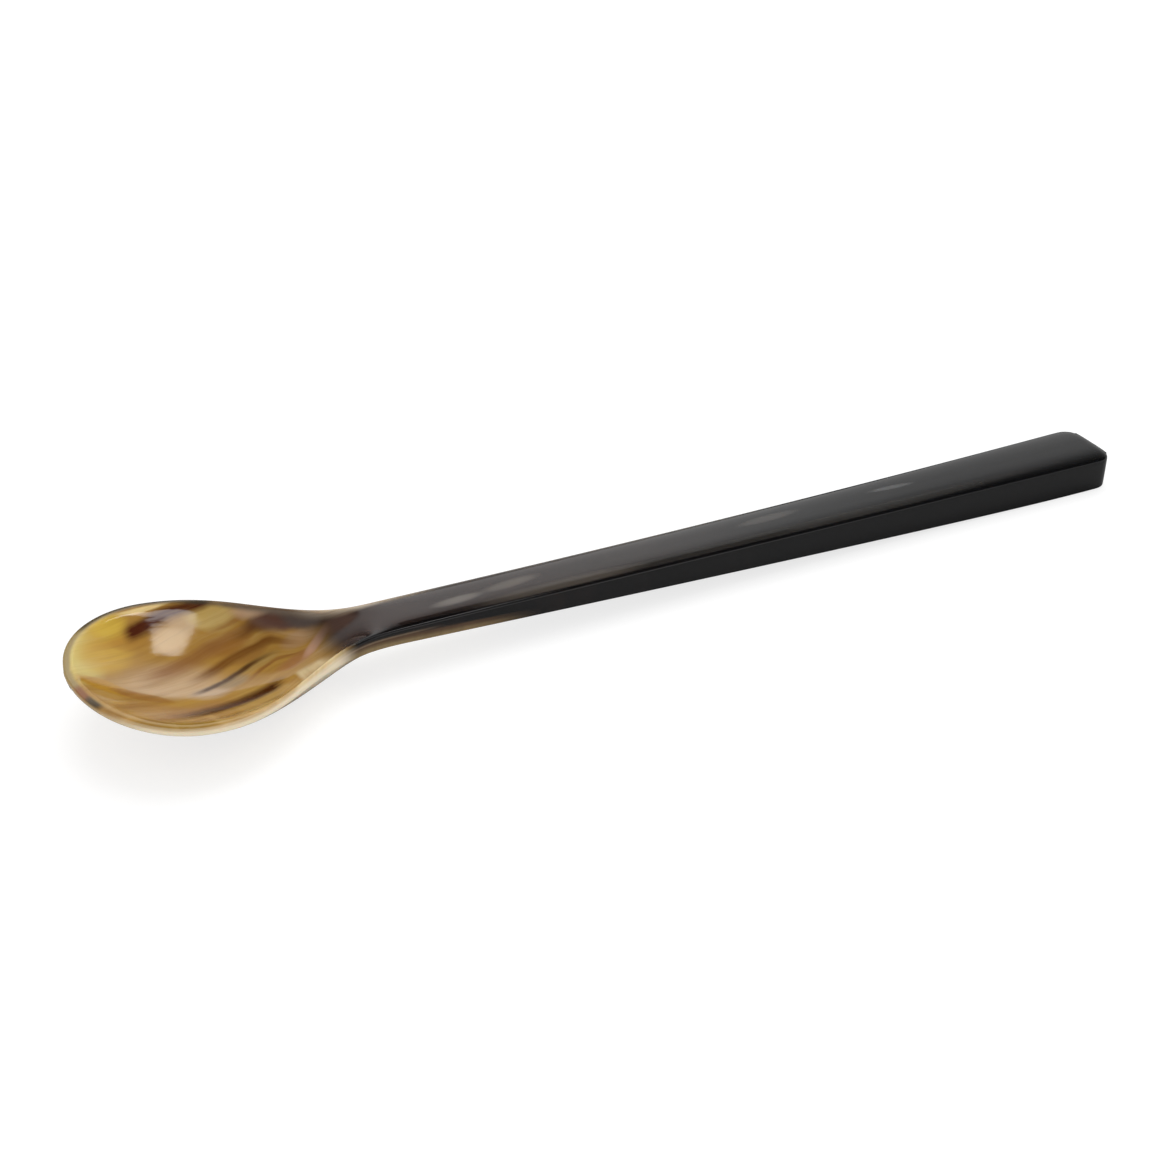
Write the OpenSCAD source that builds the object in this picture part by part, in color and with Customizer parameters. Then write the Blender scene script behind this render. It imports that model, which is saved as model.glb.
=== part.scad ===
// Baby spoon made from one piece of polished horn: a shallow egg-shaped bowl
// that runs without a seam into a slim handle with a gently crowned top.
// +X runs from the tip of the bowl to the end of the handle, +Z is up, and the
// origin is on the table, halfway along the spoon.
// The spoon lies on the belly of its bowl and on the flat heel under the end of
// its handle, so the height of the neck follows from the depth of the bowl.

/* [Whole spoon] */
// Length from the tip of the bowl to the end of the handle
spoon_l = 140; // [120:1:170]
// Radius that rounds the rim and the long edges of the handle
edge_r = 0.4; // [0.2:0.05:0.6]

/* [Bowl] */
// Length from the tip to the narrowest place of the neck
bowl_l = 36.5; // [32:0.5:44]
// Greatest width of the bowl
bowl_w = 27.4; // [23:0.2:32]
// Distance from the tip to the widest place
wide_x = 11.7; // [9:0.1:15]
// Distance from the tip to the deepest place
deep_x = 21.8; // [18:0.2:25]
// Depth of the hollow below the rim
hollow_d = 5; // [4:0.1:7]
// Thickness of the wall under the deepest place
floor_t = 1.5; // [1:0.1:2.4]
// Width of the rim round the tip, seen from above
rim_w = 1.1; // [0.8:0.05:1.6]
// Width of the rim where it runs along the shoulders to the neck
neck_rim_w = 0.5; // [0.4:0.05:0.8]
// Fall of the rim from its inner to its outer edge
lip_drop = 0.3; // [0:0.05:0.35]
// Thickness of the edge of the rim, seen from the side
rim_t = 0.9; // [0.7:0.05:1.4]
// Rise of the rim at the tip above the line of the handle
tip_rise = 2.6; // [0:0.1:5]
// Length over which the rim rises to the tip
rise_l = 29; // [20:0.5:32]

/* [Handle] */
// Width of the neck
neck_w = 7.1; // [5:0.1:9]
// Thickness of the neck
neck_t = 2; // [1.4:0.1:3.2]
// Length over which the edge of the bowl thickens into the neck
neck_blend = 14; // [8:0.5:20]
// Width of the end of the handle
end_w = 9.6; // [7:0.1:13]
// Thickness of the end of the handle
end_t = 4.4; // [3:0.1:7]
// Radius of the two corners at the end, seen from above
corner_r = 2.2; // [1:0.1:3.4]
// Height of the middle of the handle's top above its edges
crown_h = 0.4; // [0:0.05:0.6]
// Length in front of the neck at which that crown starts
crown_lead = 8.5; // [4:0.5:11]
// Length over which the crown grows to its full height
crown_l = 10; // [6:0.5:20]
// Dip of the handle's top below a straight line
top_dip = 0.3; // [0:0.05:1]
// Length of the flat heel under the end of the handle
heel_l = 8; // [4:0.5:20]

/* [Curves] */
// Fullness of the outline round the tip, where 2 is a half ellipse
tip_power = 1.95; // [1.6:0.05:2.6]
// Power that keeps the bowl wide behind its widest place
shoulder_power = 2.3; // [1.6:0.1:3]
// Power that draws the shoulders into the neck
neck_power = 3.1; // [2:0.1:4]
// Power that widens the handle towards its end
flare_power = 2; // [1.2:0.1:3]
// Fullness of the hollow in front of its deepest place
front_power = 1.85; // [1.4:0.05:2.6]
// Fullness of the belly behind its deepest place
back_power = 1.7; // [1.2:0.05:2.4]
// Power that lets the hollow run out softly into the neck
hollow_power = 2.2; // [1.4:0.1:3]
// Flatness of the crown, where 2 is evenly round
crown_power = 3.4; // [2:0.1:5]
// Power that keeps the crown high until just before the end
end_power = 8; // [2:1:12]
// Power that brings the underside of the handle down to the heel
underside_power = 1.4; // [1.2:0.05:2]

/* [Hidden] */

horn_colour = "peru";

// Sections along each stretch of the spoon
tip_steps = 14;
shoulder_steps = 16;
handle_steps = 18;
heel_steps = 3;
corner_steps = 6;

// Points across half a section: the hollow, each rounded edge and the belly
hollow_steps = 10;
round_steps = 4;
belly_steps = 10;

// An edge is rounded by less than half of its own thickness
thinnest = min(rim_t - lip_drop, neck_t, end_t);
round_r = min(edge_r, 0.48 * thinnest, 0.9 * neck_rim_w);

// Depth of the belly below the lower edge of the side
belly_d = hollow_d + floor_t - rim_t;

heel_x = spoon_l - heel_l;
corner_x = spoon_l - corner_r;
crown_x = bowl_l - crown_lead;

// Step used to measure the direction of the outline
nudge = 0.0001;

function clamp(v) = min(1, max(0, v));

function ease(v) = v * v * (3 - 2 * v);

// Every function below takes s, the distance from the tip of the bowl

// Share of the way from the neck to the end of the handle, below 0 in the bowl
function along(s) = (s - bowl_l) / (spoon_l - bowl_l);

function front_w(s) = bowl_w / 2 * sqrt(1 - pow(1 - s / wide_x, tip_power));

function shoulder_w(s) =
    let (t = (s - wide_x) / (bowl_l - wide_x))
    neck_w / 2 + (bowl_w - neck_w) / 2 * pow(1 - pow(t, shoulder_power), neck_power);

function handle_w(s) = neck_w / 2 + (end_w - neck_w) / 2 * pow(along(s), flare_power);

// What the rounded corner takes off half of the width
function corner_cut(s) =
    let (c = clamp((s - corner_x) / corner_r))
    corner_r * (1 - sqrt(1 - c * c));

// Half of the width of the spoon
function half_w(s) =
    s < wide_x ? front_w(s) :
    s < bowl_l ? shoulder_w(s) :
    handle_w(s) - corner_cut(s);

// Angle of the outline to the X axis: 90 at the tip and -90 at the end
function outline_angle(s) =
    let (s0 = max(0, s - nudge), s1 = min(spoon_l, s + nudge))
    s <= 0 ? 90 :
    s >= spoon_l ? -90 :
    atan2(half_w(s1) - half_w(s0), s1 - s0);

// Rise of the rim towards the tip
function rise(s) = tip_rise * pow(clamp(1 - s / rise_l), 2);

// Dip along the middle of the handle
function dip(s) =
    let (u = clamp(along(s)))
    4 * top_dip * u * (1 - u);

// Height of the rim, and of the top of the handle
function top_z(s) = neck_h + (end_t - neck_h) * along(s) + rise(s) - dip(s);

// Thickness of the edge of the bowl
function edge_t(s) =
    rim_t + (neck_t - rim_t) * ease(clamp((s - bowl_l + neck_blend) / neck_blend));

// Height of the underside of the handle, which is 0 along the heel
function underside_z(s) =
    (neck_h - neck_t) * pow(1 - clamp((s - bowl_l) / (heel_x - bowl_l)), underside_power);

// Height of the lower edge of the side
function side_z(s) = s < bowl_l ? top_z(s) - edge_t(s) : underside_z(s);

// Depth along the bowl as a share of the greatest depth
function bowl_share(s, start, power) =
    s < deep_x ? 1 - pow(1 - (s - start) / (deep_x - start), front_power) :
    pow(1 - pow(clamp((s - deep_x) / (bowl_l - deep_x)), 2), power);

function hollow_at(s) = hollow_d * bowl_share(max(s, rim_w), rim_w, hollow_power);

function belly_at(s) = belly_d * bowl_share(s, 0, back_power);

// Height of the middle of the top above its edges, which is 0 at the end
function crown_at(s) =
    let (c = clamp((s - corner_x) / corner_r))
    crown_h * ease(clamp((s - crown_x) / crown_l)) * (1 - pow(c, end_power));

// Height of the crown at a share of the half width
function crown_z(s, across) =
    crown_at(s) > 0 ? crown_at(s) * (1 - pow(across, crown_power)) : 0;

// Width of the rim
function rim_at(s) =
    rim_w + (neck_rim_w - rim_w) * ease(clamp((s - wide_x) / (deep_x - wide_x)));

// Fall of the rim at a place that lies inset from its outer edge
function lip_at(s, inset) =
    lip_drop * ease(clamp((bowl_l - s) / neck_blend)) * (1 - inset / rim_at(s));

// Angle at which the belly meets the rounded lower edge
function belly_angle(s) = belly_at(s) > 0 ? atan2(2 * belly_at(s), half_w(s)) : 0;

// Distance from the tip of a point that lies inset from the outline at s
function inset_x(s, inset) = s + inset * sin(outline_angle(s));

// How far the belly starts inside the outline
function belly_inset(s) = round_r * (1 - sin(belly_angle(s)));

// Height of the neck at which the belly touches the table at s
function resting_h(s) =
    let (q = inset_x(s, belly_inset(s)))
    (edge_t(q) + belly_at(s) - end_t * along(q) - rise(q)) / (1 - along(q));

stations = concat(
    [for (i = [0:tip_steps - 1]) wide_x * (1 - cos(90 * i / tip_steps))],
    [for (i = [0:shoulder_steps - 1]) wide_x + (bowl_l - wide_x) * i / shoulder_steps],
    [for (i = [0:handle_steps - 1]) bowl_l + (heel_x - bowl_l) * i / handle_steps],
    [for (i = [0:heel_steps - 1]) heel_x + (corner_x - heel_x) * i / heel_steps],
    [for (i = [0:corner_steps]) corner_x + corner_r * sin(90 * i / corner_steps)]
);

// Height of the top at the neck, at which the lowest point of the belly is at 0
neck_h = max([for (s = stations) if (s < bowl_l) resting_h(s)]);

// A point that lies inset from the outline at s, at a share of that half width
function spot(s, inset, share, z) =
    let (y = half_w(s) - inset * cos(outline_angle(s)))
    [inset_x(s, inset) - spoon_l / 2, share * y, z];

function hollow_spot(s, share) =
    let (rim = rim_at(s))
    let (q = inset_x(s, rim))
    let (crown = crown_z(s, share * (1 - rim / half_w(s))))
    spot(s, rim, share, top_z(q) + crown - hollow_at(q) * (1 - share * share));

function upper_round_spot(s, angle) =
    let (inset = round_r * (1 - cos(angle)))
    let (crown = crown_z(s, 1 - inset / half_w(s)))
    let (z = top_z(inset_x(s, inset)) + crown - lip_at(s, inset))
    spot(s, inset, 1, z - round_r * (1 - sin(angle)));

function lower_round_spot(s, angle) =
    let (inset = round_r * (1 - sin(angle)))
    spot(s, inset, 1, side_z(inset_x(s, inset)) + round_r * (1 - cos(angle)));

function belly_spot(s, share) =
    let (inset = belly_inset(s))
    let (lip = round_r * (1 - cos(belly_angle(s))))
    let (z = side_z(inset_x(s, inset)) + lip * share * share)
    spot(s, inset, share, z - belly_at(s) * (1 - share * share));

// Half a section, from the middle of the hollow over the rim to the middle of
// the belly
function half_section(s) = concat(
    [for (i = [0:hollow_steps]) hollow_spot(s, i / hollow_steps)],
    [for (i = [0:round_steps]) upper_round_spot(s, 90 * (1 - i / round_steps))],
    [for (i = [0:round_steps])
        lower_round_spot(s, 90 + (belly_angle(s) - 90) * i / round_steps)],
    [for (i = [1:belly_steps]) belly_spot(s, 1 - i / belly_steps)]
);

// Places in half a section: where the rounded edges start and end, and its last
// point
round_start = hollow_steps + 1;
round_end = round_start + 2 * round_steps + 1;
half_last = round_end + belly_steps;

// A whole section is two halves that share their first and last points
ring_size = 2 * half_last;

function mirrored(p) = [p[0], -p[1], p[2]];

function section(s) =
    let (half = half_section(s))
    concat(half, [for (i = [half_last - 1:-1:1]) mirrored(half[i])]);

// At the tip the two halves are one line of points
function tip_line() =
    let (half = half_section(0))
    [for (i = [hollow_steps:round_end]) half[i]];

tip_size = round_end - hollow_steps + 1;

last = len(stations) - 1;

// Place in the list of points of point j of section i
function index(i, j) =
    let (k = j % ring_size)
    let (half_k = k <= half_last ? k : ring_size - k)
    i > 0 ? tip_size + (i - 1) * ring_size + k :
    min(max(half_k, hollow_steps), round_end) - hollow_steps;

// Two triangles between neighbouring sections, alike on both sides of the spoon
function patch(i, j) =
    let (a = index(i, j), b = index(i, j + 1))
    let (c = index(i + 1, j + 1), d = index(i + 1, j))
    a == b ? [[a, c, d]] :
    j < half_last ? [[a, b, c], [a, c, d]] :
    [[a, b, d], [b, c, d]];

// A strip across the end of the handle, from place k to k + 1 of both halves
function end_strip(k) = [
    index(last, k),
    index(last, k + 1),
    index(last, ring_size - k - 1),
    index(last, ring_size - k)
];

// The level strips above and below take in the points of the rows beside them
end_top = [for (k = [-round_start:round_start]) index(last, ring_size + k)];
end_base = [for (k = [round_end - 1:ring_size - round_end + 1]) index(last, k)];

module spoon() {
    points = concat(tip_line(), [for (i = [1:last]) each section(stations[i])]);
    walls = [for (i = [0:last - 1]) for (j = [0:ring_size - 1]) each patch(i, j)];
    strips = [for (k = [round_start:round_end - 2]) end_strip(k)];
    color(horn_colour)
        polyhedron(points, concat(walls, strips, [end_top, end_base]));
}

spoon();
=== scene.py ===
"""A baby spoon of polished horn, lying on a pale floor in soft studio light.

The spoon is one piece. Its shape repeats the named sizes and curves of the
part's source, in millimetres, and its mesh is in metres in the part's frame.
"""

import logging
import math
from collections.abc import Callable, Iterable
from dataclasses import dataclass, field, replace
from enum import Enum

import bmesh
import bpy
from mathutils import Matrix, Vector


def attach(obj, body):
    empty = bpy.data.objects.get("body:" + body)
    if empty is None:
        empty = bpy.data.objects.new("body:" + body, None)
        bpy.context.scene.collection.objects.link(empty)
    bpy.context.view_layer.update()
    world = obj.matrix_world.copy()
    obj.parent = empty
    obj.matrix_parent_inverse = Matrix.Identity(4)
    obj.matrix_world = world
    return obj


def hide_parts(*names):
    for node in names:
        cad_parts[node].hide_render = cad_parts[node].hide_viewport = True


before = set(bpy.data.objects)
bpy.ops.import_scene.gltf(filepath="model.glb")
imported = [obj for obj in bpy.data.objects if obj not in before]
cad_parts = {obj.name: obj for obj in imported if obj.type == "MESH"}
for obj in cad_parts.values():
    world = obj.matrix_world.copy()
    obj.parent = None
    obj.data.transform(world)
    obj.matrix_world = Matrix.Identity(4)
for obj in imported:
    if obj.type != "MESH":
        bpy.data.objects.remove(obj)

LOG = logging.getLogger("horn_spoon")
MM = 0.001
RIM_WAY = "rim_way"
WHITE = (1.0, 1.0, 1.0, 1.0)
# Sockets of a Mix node for colours: its two inputs and its output.
FIRST_COLOUR, SECOND_COLOUR, MIXED_COLOUR = 6, 7, 2

Colour = tuple[float, float, float]
Point = tuple[float, float, float]
Span = tuple[float, float]


def clamp(value: float) -> float:
    """Returns value, kept between 0 and 1."""
    return min(1.0, max(0.0, value))


def ease(value: float) -> float:
    """Returns a smooth rise from 0 to 1 as value goes from 0 to 1."""
    v = clamp(value)
    return v * v * (3 - 2 * v)


def linear(code: str) -> Colour:
    """Turns a display colour into the linear colour that a shader takes.

    Args:
        code: Six hexadecimal digits, such as "C8A050".

    Returns:
        Red, green and blue from 0 to 1, linear.
    """
    parts = [int(code[i : i + 2], 16) / 255 for i in (0, 2, 4)]
    low_slope, knee, lift, power = 12.92, 0.04045, 0.055, 2.4
    return tuple(
        p / low_slope if p <= knee else ((p + lift) / (1 + lift)) ** power
        for p in parts
    )


@dataclass(frozen=True)
class SpoonForm:
    """Sizes and curves of the spoon in millimetres, as in the part's source.

    Every curve takes s, the distance from the tip of the bowl.
    """

    spoon_l: float = 140.0
    bowl_l: float = 36.5
    bowl_w: float = 27.4
    wide_x: float = 11.7
    deep_x: float = 21.8
    hollow_d: float = 5.0
    floor_t: float = 1.5
    rim_w: float = 1.1
    rim_t: float = 0.9
    tip_rise: float = 2.6
    rise_l: float = 29.0
    neck_w: float = 7.1
    neck_t: float = 2.0
    neck_blend: float = 14.0
    neck_h: float = 6.115
    end_w: float = 9.6
    end_t: float = 4.4
    corner_r: float = 2.2
    top_dip: float = 0.3
    heel_l: float = 8.0
    tip_power: float = 1.95
    shoulder_power: float = 2.3
    neck_power: float = 3.1
    flare_power: float = 2.0
    front_power: float = 1.85
    back_power: float = 1.7
    underside_power: float = 1.4
    hollow_power: float = 2.2
    crown_h: float = 0.4
    crown_lead: float = 8.5
    crown_l: float = 10.0
    crown_power: float = 3.4
    end_power: float = 8.0
    lip_drop: float = 0.3
    neck_rim_w: float = 0.5

    @property
    def heel_x(self) -> float:
        """Distance from the tip to the start of the flat heel."""
        return self.spoon_l - self.heel_l

    @property
    def corner_x(self) -> float:
        """Distance from the tip to the start of the rounded end corners."""
        return self.spoon_l - self.corner_r

    @property
    def belly_d(self) -> float:
        """Depth of the belly below the lower edge of the side."""
        return self.hollow_d + self.floor_t - self.rim_t

    def along(self, s: float) -> float:
        """Share of the way from the neck to the end of the handle."""
        return (s - self.bowl_l) / (self.spoon_l - self.bowl_l)

    def half_w(self, s: float) -> float:
        """Half of the width of the spoon.

        Args:
            s: Distance from the tip.

        Returns:
            Millimetres from the middle line to the outline.
        """
        if s < self.wide_x:
            return self.bowl_w / 2 * math.sqrt(1 - (1 - s / self.wide_x) ** self.tip_power)
        if s < self.bowl_l:
            t = (s - self.wide_x) / (self.bowl_l - self.wide_x)
            shoulder = (1 - t**self.shoulder_power) ** self.neck_power
            return self.neck_w / 2 + (self.bowl_w - self.neck_w) / 2 * shoulder
        flare = self.along(s) ** self.flare_power
        c = clamp((s - self.corner_x) / self.corner_r)
        corner_cut = self.corner_r * (1 - math.sqrt(1 - c * c))
        return self.neck_w / 2 + (self.end_w - self.neck_w) / 2 * flare - corner_cut

    def outline_angle(self, s: float) -> float:
        """Angle of the outline to the X axis, a quarter turn at the tip.

        Args:
            s: Distance from the tip.

        Returns:
            The angle in radians.
        """
        nudge = 0.0001
        if s <= 0:
            return math.pi / 2
        return math.atan2(self.half_w(s + nudge) - self.half_w(max(0, s - nudge)), 2 * nudge)

    def top_z(self, s: float) -> float:
        """Height of the rim, and of the top of the handle at its edges.

        Args:
            s: Distance from the tip.

        Returns:
            Millimetres above the table.
        """
        u = clamp(self.along(s))
        rise = self.tip_rise * clamp(1 - s / self.rise_l) ** 2
        slope = (self.end_t - self.neck_h) * self.along(s)
        return self.neck_h + slope + rise - 4 * self.top_dip * u * (1 - u)

    def edge_t(self, s: float) -> float:
        """Thickness of the edge of the bowl."""
        thicker = ease((s - self.bowl_l + self.neck_blend) / self.neck_blend)
        return self.rim_t + (self.neck_t - self.rim_t) * thicker

    def side_z(self, s: float) -> float:
        """Height of the lower edge of the side.

        Args:
            s: Distance from the tip.

        Returns:
            Millimetres above the table.
        """
        if s < self.bowl_l:
            return self.top_z(s) - self.edge_t(s)
        left = 1 - clamp((s - self.bowl_l) / (self.heel_x - self.bowl_l))
        return (self.neck_h - self.neck_t) * left**self.underside_power

    def bowl_share(self, s: float, start: float, power: float) -> float:
        """Depth along the bowl as a share of the greatest depth.

        Args:
            s: Distance from the tip.
            start: Distance at which the depth begins.
            power: How round the back of the bowl is.

        Returns:
            The share, 1 at the deepest place and 0 at both ends.
        """
        if s < self.deep_x:
            return 1 - (1 - (s - start) / (self.deep_x - start)) ** self.front_power
        back = clamp((s - self.deep_x) / (self.bowl_l - self.deep_x))
        return (1 - back**2) ** power

    def crown_at(self, s: float) -> float:
        """Height of the middle of the handle's top above its edges.

        Args:
            s: Distance from the tip.

        Returns:
            Millimetres, 0 in the bowl and at the end.
        """
        start = ease((s - self.bowl_l + self.crown_lead) / self.crown_l)
        end = clamp((s - self.corner_x) / self.corner_r)
        return self.crown_h * start * (1 - end**self.end_power)

    def rim_at(self, s: float) -> float:
        """Width of the rim, which narrows from the widest place to the neck."""
        narrower = ease((s - self.wide_x) / (self.deep_x - self.wide_x))
        return self.rim_w + (self.neck_rim_w - self.rim_w) * narrower

    def lip_at(self, s: float) -> float:
        """Fall of the rim from its inner to its outer edge."""
        return self.lip_drop * ease((self.bowl_l - s) / self.neck_blend)

    def hollow_at(self, s: float) -> float:
        """Depth of the hollow along its middle."""
        return self.hollow_d * self.bowl_share(max(s, self.rim_w), self.rim_w, self.hollow_power)

    def belly_at(self, s: float) -> float:
        """Depth of the belly along its middle."""
        return self.belly_d * self.bowl_share(s, 0, self.back_power)


class Strip(Enum):
    """The four groups of points that make up a row across the spoon."""

    HOLLOW = "hollow"
    RIM = "rim"
    SIDE = "side"
    BELLY = "belly"


def start_piece(name: str, primitive: Callable, **settings: object) -> bpy.types.Object:
    """Adds a primitive at the origin, with nothing else selected.

    Args:
        name: The name of the new piece.
        primitive: The operator that adds it.
        settings: The operator's settings.

    Returns:
        The new piece.
    """
    bpy.ops.object.select_all(action="DESELECT")
    primitive(location=(0, 0, 0), **settings)
    piece = bpy.context.object
    piece.name = name
    piece.data.name = name
    return piece


class Workbench:
    """The edit-mode tools that shape one mesh, on points that code picks."""

    def __init__(self, piece: bpy.types.Object) -> None:
        """Opens a piece for editing, with nothing on it picked.

        Args:
            piece: The active object, in object mode.
        """
        self.piece = piece
        bpy.ops.object.mode_set(mode="EDIT")
        self.mesh = bmesh.from_edit_mesh(piece.data)
        self.picked: list = []
        bpy.ops.mesh.select_all(action="DESELECT")

    def refresh(self) -> None:
        """Takes up the mesh again after a tool has added points to it."""
        self.mesh = bmesh.from_edit_mesh(self.piece.data)
        self.picked = []

    def pick(self, points: Iterable) -> None:
        """Picks these points and no others.

        Args:
            points: The points to pick.
        """
        for point in self.picked:
            point.select = False
        self.picked = list(points)
        for point in self.picked:
            point.select = True

    def pick_edges(self, wanted: Callable[[object], bool]) -> int:
        """Picks the edges that pass a test, and no others.

        Args:
            wanted: Takes an edge and says whether it is picked.

        Returns:
            How many edges were picked.
        """
        bpy.ops.mesh.select_all(action="DESELECT")
        bpy.ops.mesh.select_mode(type="EDGE")
        edges = [edge for edge in self.mesh.edges if wanted(edge)]
        for edge in edges:
            edge.select = True
        return len(edges)

    def move(self, x: float = 0.0, y: float = 0.0, z: float = 0.0) -> None:
        """Moves the picked points by millimetres."""
        bpy.ops.transform.translate(value=(x * MM, y * MM, z * MM))

    def stretch(self, x: float = 1.0, y: float = 1.0, z: float = 1.0) -> None:
        """Scales the picked points about the origin."""
        bpy.ops.transform.resize(value=(x, y, z), center_override=(0, 0, 0))

    def round_edges(self, radius: float, steps: int) -> None:
        """Rounds the picked edges.

        Args:
            radius: Radius in millimetres.
            steps: Number of faces round the edge.
        """
        bpy.ops.mesh.bevel(
            offset=radius * MM,
            offset_type="OFFSET",
            segments=steps,
            profile=0.5,
            affect="EDGES",
            clamp_overlap=False,
        )
        self.refresh()

    def close(self) -> None:
        """Turns every face outwards and goes back to object mode."""
        bpy.ops.mesh.select_mode(type="VERT")
        bpy.ops.mesh.select_all(action="SELECT")
        bpy.ops.mesh.normals_make_consistent(inside=False)
        bpy.ops.mesh.select_all(action="DESELECT")
        bpy.ops.object.mode_set(mode="OBJECT")


@dataclass
class Spoon:
    """The whole spoon: a board of rows and columns that is pressed into shape."""

    form: SpoonForm = field(default_factory=SpoonForm)
    board_t: float = 1.0
    half_columns: int = 8
    tip_rows: int = 11
    tip_spread: float = 0.8
    shoulder_rows: int = 17
    handle_rows: int = 26
    heel_rows: int = 2
    corner_rows: int = 5
    front_s: float = 0.0065
    first_s: float = 0.02
    edge_round: float = 0.28
    round_steps: int = 3
    smooth_levels: int = 2
    outline_steps: int = 700
    outline_spread: float = 1.5

    def stations(self) -> list[float]:
        """Sets out where the rows lie, from the tip to the end.

        Returns:
            Distance of each row from the tip.
        """
        form = self.form
        first = math.acos(1 - self.first_s / form.wide_x)
        shares = [(i / self.tip_rows) ** self.tip_spread for i in range(self.tip_rows)]
        tip = [
            form.wide_x * (1 - math.cos(first + (math.pi / 2 - first) * share))
            for share in shares
        ]
        stretches = [
            (form.wide_x, form.bowl_l, self.shoulder_rows),
            (form.bowl_l, form.heel_x, self.handle_rows),
            (form.heel_x, form.corner_x, self.heel_rows),
        ]
        middle = [a + (b - a) * i / n for a, b, n in stretches for i in range(n)]
        quarter = [math.pi / 2 * i / self.corner_rows for i in range(self.corner_rows + 1)]
        corner = [form.corner_x + form.corner_r * math.sin(a) for a in quarter]
        return [self.front_s, *tip, *middle, *corner]

    def lay_board(self, rows: int) -> bpy.types.Object:
        """Adds the flat board that becomes the spoon, lying along its length.

        Args:
            rows: Number of rows of points across the board.

        Returns:
            The board, a square grid as wide as the bowl.
        """
        return start_piece(
            "horn_spoon",
            bpy.ops.mesh.primitive_grid_add,
            x_subdivisions=rows - 1,
            y_subdivisions=2 * self.half_columns + 2,
            size=self.form.bowl_w * MM,
        )

    def mark(self, bench: Workbench, rows: int) -> None:
        """Writes each point's row and column on it, to find it by later.

        Args:
            bench: The tools, open on the board.
            rows: Number of rows of points across the board.
        """
        bench.mesh.verts.layers.int.new("row")
        bench.mesh.verts.layers.int.new("column")
        bench.mesh.verts.layers.float.new(RIM_WAY)
        row_tag = bench.mesh.verts.layers.int["row"]
        column_tag = bench.mesh.verts.layers.int["column"]
        half = self.form.bowl_w * MM / 2
        for point in bench.mesh.verts:
            point[row_tag] = round((point.co.x + half) / (2 * half) * (rows - 1))
            point[column_tag] = round(point.co.y / half * (self.half_columns + 1))

    def strips(self, bench: Workbench, rows: int) -> list[dict[Strip, list]]:
        """Sorts the points of the board.

        Args:
            bench: The tools, open on the board.
            rows: Number of rows of points across the board.

        Returns:
            The points by row and strip.
        """
        row_tag = bench.mesh.verts.layers.int["row"]
        column_tag = bench.mesh.verts.layers.int["column"]
        sorted_rows = [{strip: [] for strip in Strip} for _ in range(rows)]
        for point in bench.mesh.verts:
            edge = abs(point[column_tag]) > self.half_columns
            above = point.co.z > -self.board_t * MM / 2
            if edge:
                strip = Strip.RIM if above else Strip.SIDE
            else:
                strip = Strip.HOLLOW if above else Strip.BELLY
            sorted_rows[point[row_tag]][strip].append(point)
        return sorted_rows

    def press(self, bench: Workbench, strip: Strip, rows: list[dict[Strip, list]]) -> None:
        """Presses a round trough, one millimetre deep, along one sheet.

        Args:
            bench: The tools, open on the board.
            strip: The sheet to press, HOLLOW or BELLY.
            rows: The board's points by row and strip.
        """
        column_tag = bench.mesh.verts.layers.int["column"]
        reach = self.half_columns if strip is Strip.HOLLOW else self.half_columns + 1
        points = [point for row in rows for point in row[strip]]
        for column in range(reach - 1, -1, -1):
            inside = [p for p in points if abs(p[column_tag]) <= column]
            outer, inner = (column + 1) / reach, column / reach
            bench.pick(inside)
            bench.move(z=-(outer**2 - inner**2))

    def raise_crown(self, bench: Workbench, points: list, height: float, rim: float) -> None:
        """Crowns the top of one row, flat in the middle and round towards its edges.

        Args:
            bench: The tools, open on the board.
            points: The row's points on the top, between the two edges.
            height: Height of the crown in millimetres.
            rim: Share of the half width that lies outside these points.
        """
        if height <= 0:
            return
        column_tag = bench.mesh.verts.layers.int["column"]
        shares = [(1 - rim) * i / self.half_columns for i in range(self.half_columns + 1)]
        levels = [share**self.form.crown_power for share in (*shares, 1.0)]
        for column in range(self.half_columns, -1, -1):
            bench.pick([p for p in points if abs(p[column_tag]) <= column])
            bench.move(z=height * (levels[column + 1] - levels[column]))

    def place_row(self, bench: Workbench, row: dict[Strip, list], s: float, front: bool) -> None:
        """Brings one row of the board to its width, depth and place.

        Args:
            bench: The tools, open on the board.
            row: The row's points by strip.
            s: Distance of the row from the tip.
            front: Whether this is the first row, which lies on the outline.
        """
        form = self.form
        board_half = form.bowl_w / 2
        start_x = row[Strip.RIM][0].co.x / MM
        base_z = row[Strip.SIDE][0].co.z / MM
        x = s - form.spoon_l / 2
        width = form.half_w(s)
        edge_share = (self.half_columns + 1) / self.half_columns
        in_bowl = s < form.bowl_l and not front
        angle = form.outline_angle(s) if in_bowl else 0.0
        rim = form.rim_at(s)
        inner_s = s + rim * math.sin(angle)
        inner_w = width if front else (width - rim * math.cos(angle)) * edge_share
        depth = form.hollow_at(inner_s) if in_bowl else 0.0

        bench.pick(row[Strip.HOLLOW])
        bench.stretch(y=inner_w / board_half, z=depth)
        lip = form.lip_at(s)
        fall = lip if front else 0.0
        bench.move(x=inner_s - form.spoon_l / 2 - start_x, z=form.top_z(inner_s) - fall)
        self.raise_crown(bench, row[Strip.HOLLOW], form.crown_at(s), rim / width)
        bench.pick(row[Strip.RIM])
        bench.stretch(y=width / board_half)
        bench.move(x=x - start_x, z=form.top_z(s) - lip)
        bench.pick(row[Strip.SIDE])
        bench.stretch(y=width / board_half)
        bench.move(x=x - start_x, z=form.side_z(s) - base_z)
        bench.pick(row[Strip.BELLY])
        bench.move(z=-base_z)
        bench.stretch(y=width / board_half, z=form.belly_at(s) if s < form.bowl_l else 0.0)
        bench.move(x=x - start_x, z=form.side_z(s))

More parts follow.
